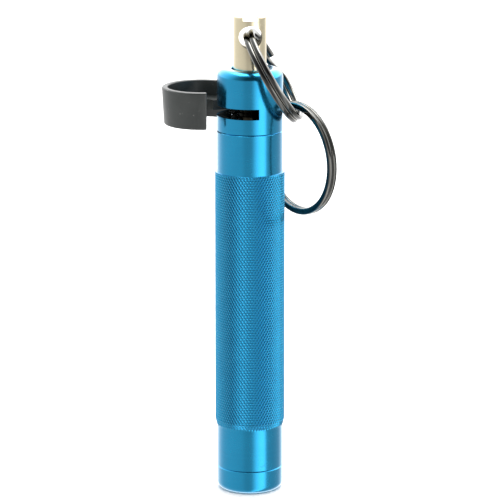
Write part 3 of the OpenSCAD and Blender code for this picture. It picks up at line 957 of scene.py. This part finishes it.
@dataclass
class SplitRing:
    """A split ring: one flat wire wound twice round, with a short cross-over where it changes coil."""

    node: str
    body: str
    piece: str
    thick: float
    width: float
    start: float
    crossover: float = math.radians(34)
    wire_gap: float = 0.04
    corner: float = 0.45
    corner_steps: int = 4
    steps: int = 400
    end_round: float = 0.12

    def frame(self, normal: Array) -> tuple:
        """Reads the ring's place and plane from its CAD node's box and the direction of its axis.

        Args:
            normal: Direction of the ring's axis.

        Returns:
            Centre, middle radius, axis, and two directions in the ring's plane.
        """
        low, high = box_mm(self.node)
        centre = (low + high) / 2
        n = unit(normal)
        half = (high - low) / 2
        shadow = math.sqrt(max(1 - n[2] ** 2, 1e-9))
        outer = (half[2] - self.width / 2 * abs(n[2])) / shadow
        side = unit(np.cross(n, (0.0, 0.0, 1.0)))
        return centre, outer - self.thick / 2, n, side, np.cross(side, n)

    def build(self, normal: Array) -> bpy.types.Object:
        """Carries the wire's section round two turns, stepping sideways by one coil over the cross-over.

        Args:
            normal: Direction of the ring's axis.

        Returns:
            The finished ring.
        """
        centre, radius, n, side, up = self.frame(normal)
        wire = self.width / 2 - self.wire_gap / 2
        corner = min(self.corner, wire / 2 - 0.05)
        half_t, half_w = self.thick / 2, wire / 2
        section = rounded([
            (-half_t, -half_w, corner), (half_t, -half_w, corner), (half_t, half_w, corner),
            (-half_t, half_w, corner)], self.corner_steps)
        t = np.linspace(0, 4 * np.pi - self.crossover, self.steps)
        ramp = np.clip((t - (2 * np.pi - self.crossover)) / self.crossover, 0, 1)
        shift = (self.width - wire) * (ramp * ramp * (3 - 2 * ramp) - 0.5)
        a = t + self.start
        out = np.cos(a)[:, None] * side + np.sin(a)[:, None] * up
        path = centre + radius * out + shift[:, None] * n
        axes = np.repeat(n[None], len(t), axis=0)
        obj = Workshop.raw(self.piece, carried(section, path, out, axes))
        self.unwrap(obj.data, len(section), radius)
        Workshop.bevel(obj, self.end_round, 60, 2)
        return Workshop.finish(obj, Finishes.wire, self.body, "ring_steel", (self.node,))

    def unwrap(self, mesh: bpy.types.Mesh, around: int, radius: float) -> None:
        """Gives the wire a UV map: u is the way along it in millimetres, v goes once round its section.

        Args:
            mesh: The carried wire.
            around: Points in its section.
            radius: Middle radius of the coil.
        """
        corner = np.empty(len(mesh.loops), np.int32)
        mesh.loops.foreach_get("vertex_index", corner)
        step, place = corner // around, corner % around
        face = np.repeat(np.arange(len(mesh.polygons)), [len(p.vertices) for p in mesh.polygons])
        highest = np.zeros(len(mesh.polygons), np.int32)
        lowest = np.full(len(mesh.polygons), around)
        np.maximum.at(highest, face, place)
        np.minimum.at(lowest, face, place)
        seam = (highest[face] == around - 1) & (lowest[face] == 0) & (place == 0)
        place = np.where(seam, around, place)
        length = (4 * math.pi - self.crossover) * radius / (self.steps - 1)
        layer = mesh.uv_layers.new(name="wire")
        uv = np.column_stack([step * length, place / around])
        layer.data.foreach_set("uv", uv.ravel().astype(np.float32))


class InnerWorks:
    """The CAD pieces that keep their own shape: pin, bush, seals, canister, valve and springs."""

    DRESS = {
        "latch_pin": Finishes.pin, "post_bush": Finishes.bush, "retaining_clip": Finishes.pin,
        "cap_oring": Finishes.rubber, "head_oring": Finishes.rubber, "stem_gasket": Finishes.rubber,
        "cushion_pad": Finishes.foam, "canister_can": Finishes.can, "valve_cup": Finishes.cup,
        "dip_tube": Finishes.poly, "valve_housing": Finishes.acetal, "valve_stem": Finishes.acetal,
        "spray_button": Finishes.acetal, "nozzle_insert": Finishes.brass, "valve_spring": Finishes.spring,
        "return_spring": Finishes.spring}

    @classmethod
    def dress(cls) -> None:
        """Gives each kept CAD node its finish, in the node's own material slots."""
        for name, material in cls.DRESS.items():
            node = frame["nodes"][name]
            if not node.material_slots:
                node.data.materials.append(material)
            for place in node.material_slots:
                place.material = material
            LOG.info("%s: dressed in %s", name, material.name)


# ---------------------------------------------------------------- studio


@dataclass
class Studio:
    """Camera, pale floor and soft light. Distances are in metres."""

    lens: float = 271.0
    distance: float = 0.892
    elevation: float = math.radians(13.0)
    aim_z: float = 0.0581
    aim_x: float = 0.00003
    floor_size: float = 6.0
    low_panels: tuple = (
        (0.00, 1.8), (0.08, 1.4), (0.20, 0.92), (0.33, 0.86), (0.42, 0.80), (0.46, 0.62), (0.52, 0.62),
        (0.565, 1.8), (0.60, 2.5), (0.645, 2.6), (0.675, 0.7), (0.76, 0.62), (0.84, 0.7), (0.92, 1.5),
        (1.00, 1.8))
    high_panels: tuple = (
        (0.00, 2.4), (0.12, 2.2), (0.25, 1.4), (0.36, 0.45), (0.46, 0.08), (0.60, 0.10), (0.70, 0.9),
        (0.80, 3.0), (0.90, 2.8), (1.00, 2.4))

    def camera(self) -> None:
        """Sets the camera on the front, a little above the middle and looking slightly down."""
        data = bpy.data.cameras.new("camera")
        data.lens, data.sensor_width = self.lens, 36.0
        data.clip_start, data.clip_end = 0.05, 30.0
        cam = bpy.data.objects.new("camera", data)
        bpy.context.scene.collection.objects.link(cam)
        aim = Vector((self.aim_x, 0.0, self.aim_z))
        away = Vector((0.0, -math.cos(self.elevation), math.sin(self.elevation)))
        cam.location = aim + away * self.distance
        cam.rotation_euler = (-away).to_track_quat("-Z", "Y").to_euler()
        bpy.context.scene.camera = cam

    def floor(self) -> None:
        """Lays a large pale floor with a faint paper mottle."""
        half = self.floor_size / 2 / MM
        corners = np.array([(-half, -half, 0), (half, -half, 0), (half, half, 0), (-half, half, 0)], float)
        obj = Workshop.raw("floor", Surface(corners, [[0, 1, 2, 3]]))
        obj.data.transform(Matrix.Scale(MM, 4))
        material = bpy.data.materials.new("pale_paper")
        material.use_nodes = True
        g = Graph(material.node_tree)
        shader = material.node_tree.nodes["Principled BSDF"]
        at = g.add("ShaderNodeTexCoord").outputs["Object"]
        cloud = g.add("ShaderNodeTexNoise", {"Vector": at, "Scale": 60.0, "Detail": 4.0})
        tone = g.mix(cloud.outputs[0], (0.90, 0.90, 0.90), (0.93, 0.93, 0.93))
        material.node_tree.links.new(tone, shader.inputs["Base Color"])
        shader.inputs["Roughness"].default_value = 0.8
        shader.inputs["Specular IOR Level"].default_value = 0.2
        obj.data.materials.append(material)
        obj.visible_glossy = False

    def surroundings(self) -> None:
        """World: white to the eye, and two rings of soft panels, low and high, to light and reflections."""
        world = bpy.data.worlds.new("soft_studio")
        bpy.context.scene.world = world
        world.use_nodes = True
        tree = world.node_tree
        tree.nodes.clear()
        g = Graph(tree)
        at = g.add("ShaderNodeSeparateXYZ", {0: g.add("ShaderNodeTexCoord").outputs["Generated"]})
        x, y, z = at.outputs
        turn = g.math("ARCTAN2", x, g.math("MULTIPLY", y, -1.0))
        fac = g.math("MULTIPLY_ADD", turn, 1 / (2 * math.pi), 0.5)
        most = max(level for _, level in self.low_panels + self.high_panels)
        low, high = (g.ramp(fac, [(p, level / most) for p, level in ring])
                     for ring in (self.low_panels, self.high_panels))
        rise = g.math("MULTIPLY_ADD", z, 9.0, -0.5, clamp=True)
        zenith = g.math("MULTIPLY_ADD", z, 6.0, -5.0, clamp=True)
        level = g.mix(zenith, g.mix(rise, low, high), (0.4, 0.4, 0.4))
        soft = g.add("ShaderNodeBackground", {0: level, 1: most})
        plain = g.add("ShaderNodeBackground", {0: (1.0, 1.0, 1.0, 1.0), 1: 1.0})
        seen = g.add("ShaderNodeLightPath").outputs["Is Camera Ray"]
        both = g.add("ShaderNodeMixShader", {0: seen, 1: soft.outputs[0], 2: plain.outputs[0]})
        out = g.add("ShaderNodeOutputWorld")
        tree.links.new(both.outputs[0], out.inputs[0])

    def lamp(self, name: str, at: tuple, size: float, power: float, mirrored: bool = True) -> None:
        """Adds a square soft lamp that points at the object's middle.

        Args:
            name: The lamp's name.
            at: Where it stands.
            size: Its side.
            power: Its power in watts.
            mirrored: Whether shiny surfaces show it.
        """
        data = bpy.data.lights.new(name, "AREA")
        data.size, data.energy = size, power
        obj = bpy.data.objects.new(name, data)
        bpy.context.scene.collection.objects.link(obj)
        obj.location = at
        aim = Vector((0.0, 0.0, self.aim_z)) - Vector(at)
        obj.rotation_euler = aim.to_track_quat("-Z", "Y").to_euler()
        obj.visible_glossy = mirrored

    def build(self) -> None:
        """Sets up everything round the object."""
        self.floor()
        self.surroundings()
        self.lamp("overhead", (0.0, 0.25, 1.1), 0.9, 12.0)
        self.lamp("front_fill", (-0.4, -1.2, 0.5), 0.8, 4.0, mirrored=False)
        view = bpy.context.scene.view_settings
        view.view_transform, view.look, view.exposure, view.gamma = "Standard", "None", 0.0, 1.0


def joint(name: str) -> dict:
    """The frame's joint of that name."""
    return next(j for j in frame["joints"] if j["name"] == name)


def main() -> None:
    """Builds the studio and every sub-assembly in order, and reports each piece."""
    logging.basicConfig(level=logging.INFO, format="%(name)s: %(message)s")
    studio = Studio()
    studio.camera()
    studio.build()
    pin = np.array(joint("latch_swing")["pos_m"][:2]) / MM
    hole_axis = np.array(joint("small_ring_swing")["axis"], float)
    KnurledTube().build()
    EndCap().build()
    Head().build(pin)
    PressPost().build()
    SafetyLatch().build(pin)
    hang = (np.add(*box_mm("small_split_ring")) / 2) - np.array(joint("small_ring_swing")["pos_m"]) / MM
    SplitRing("small_split_ring", "small_ring", "small_ring_coil", thick=1.56, width=2.66,
              start=math.radians(200)).build(np.cross(hole_axis, hang))
    facing, tip = math.radians(37), math.radians(2)
    SplitRing("large_split_ring", "large_ring", "large_ring_coil", thick=1.66, width=2.16,
              start=math.radians(150)).build(
        (math.cos(facing) * math.cos(tip), math.sin(facing) * math.cos(tip), math.sin(tip)))
    InnerWorks.dress()


if __name__ == "__main__":
    main()
